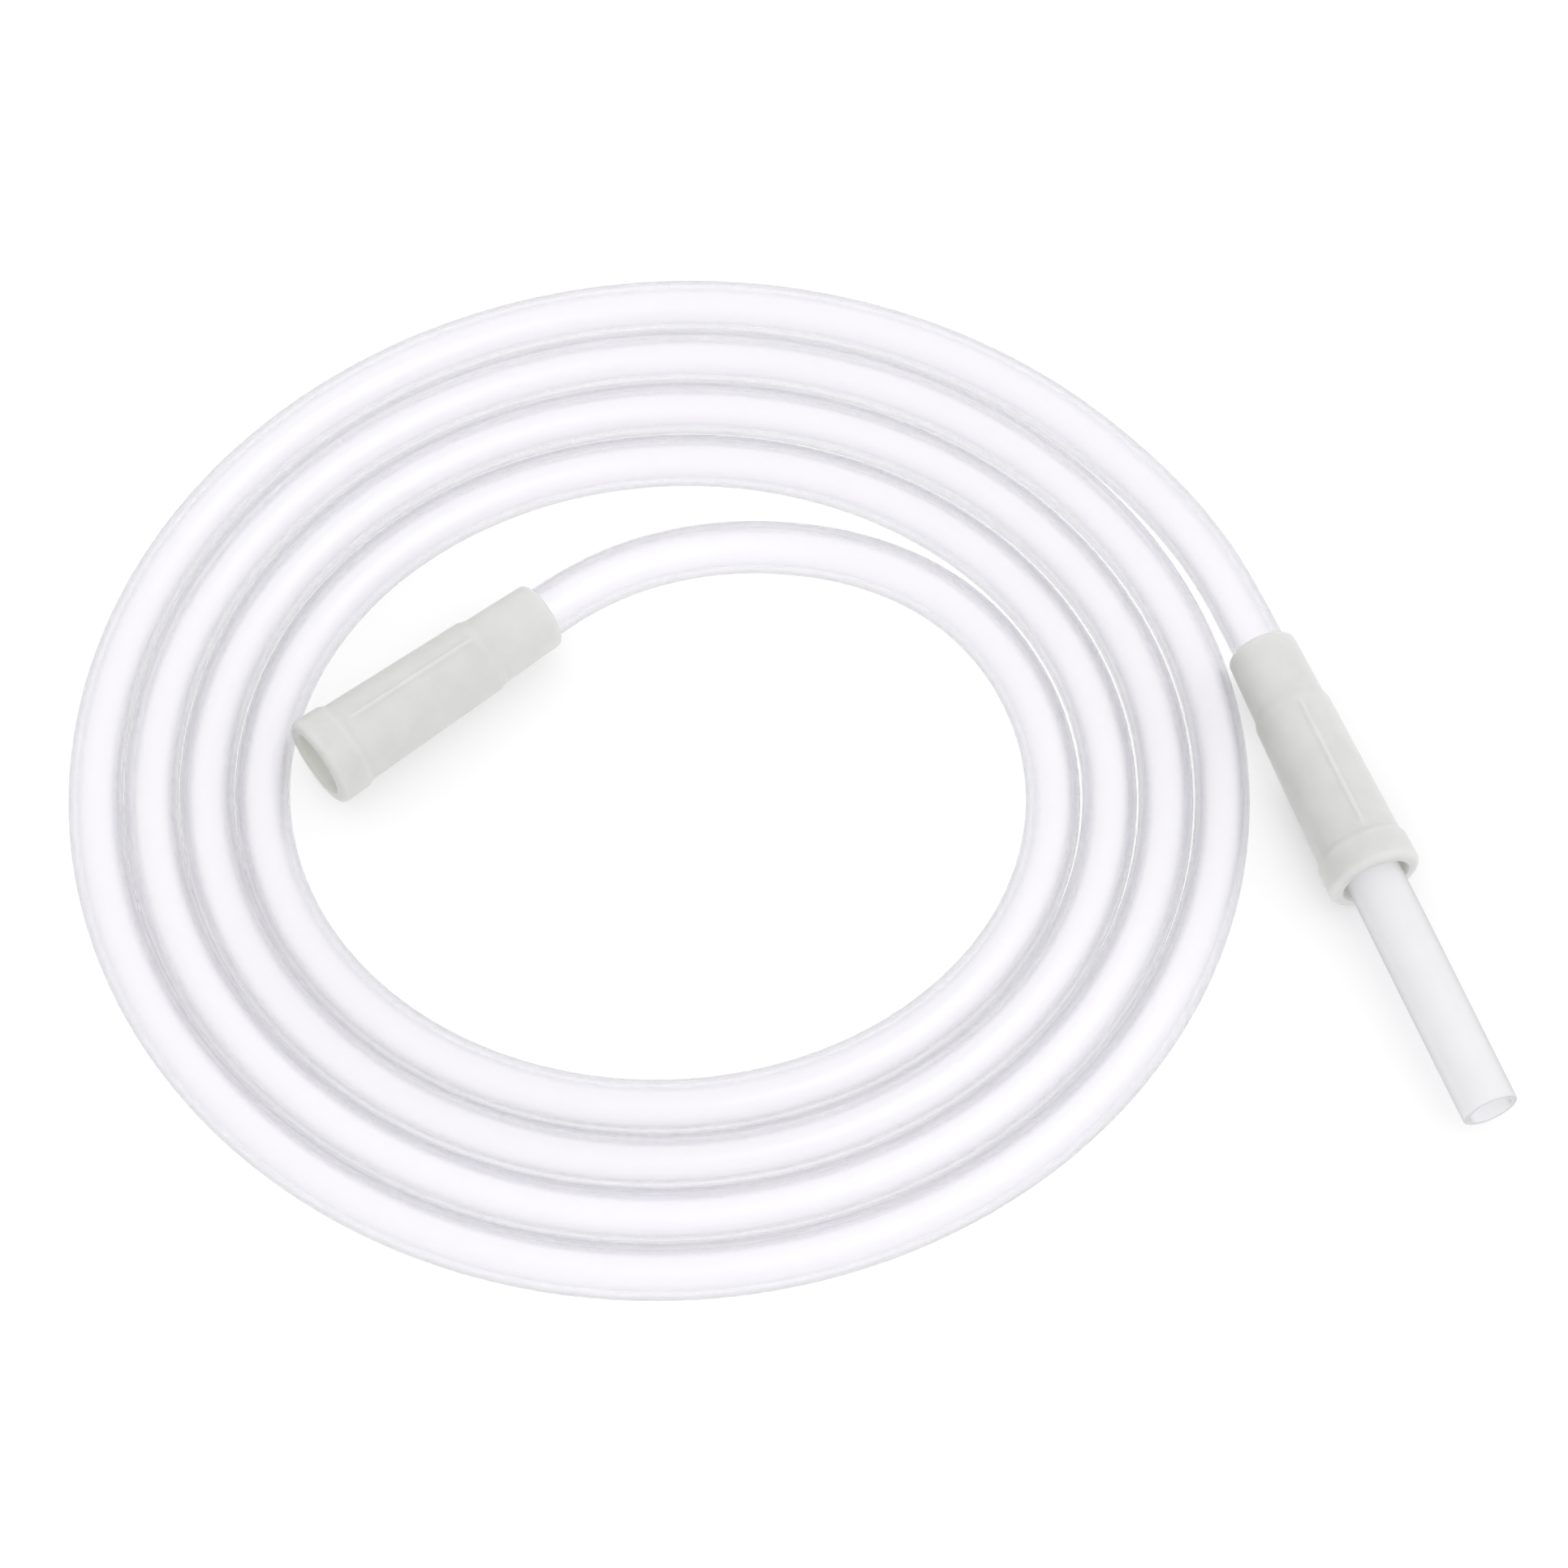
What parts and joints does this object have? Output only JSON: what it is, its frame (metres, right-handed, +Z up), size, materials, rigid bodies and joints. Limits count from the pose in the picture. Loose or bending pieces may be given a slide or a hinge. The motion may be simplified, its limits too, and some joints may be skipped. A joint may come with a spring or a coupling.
{
  "type": "suction tubing",
  "caption": "Clear flexible suction tube laid in a flat coil, with a soft funnel connector on each end and a straight push-in male adapter.",
  "frame": {"origin": "centre of the bounding box in plan, on the surface that the coil lies on", "axes": "+Z up through the flat coil; -X the way the open funnel's mouth faces"},
  "size_m": [0.177, 0.2044, 0.0141],
  "materials": {
    "clear_pvc": "clear, glossy, faint lavender tint",
    "milky_pvc": "milky, soft satin",
    "frosted_plastic": "translucent, lightly frosted"
  },
  "bodies": {
    "hose": {"tubing": "clear_pvc", "open_funnel": "milky_pvc", "adapter_funnel": "milky_pvc"},
    "adapter": {"male_adapter": "frosted_plastic"}
  },
  "joints": [
    {"name": "adapter_slide", "type": "slide", "parent": "hose", "child": "adapter", "axis": [-0.3154, -0.949, 0], "range_m": [0, 0.022]}
  ]
}
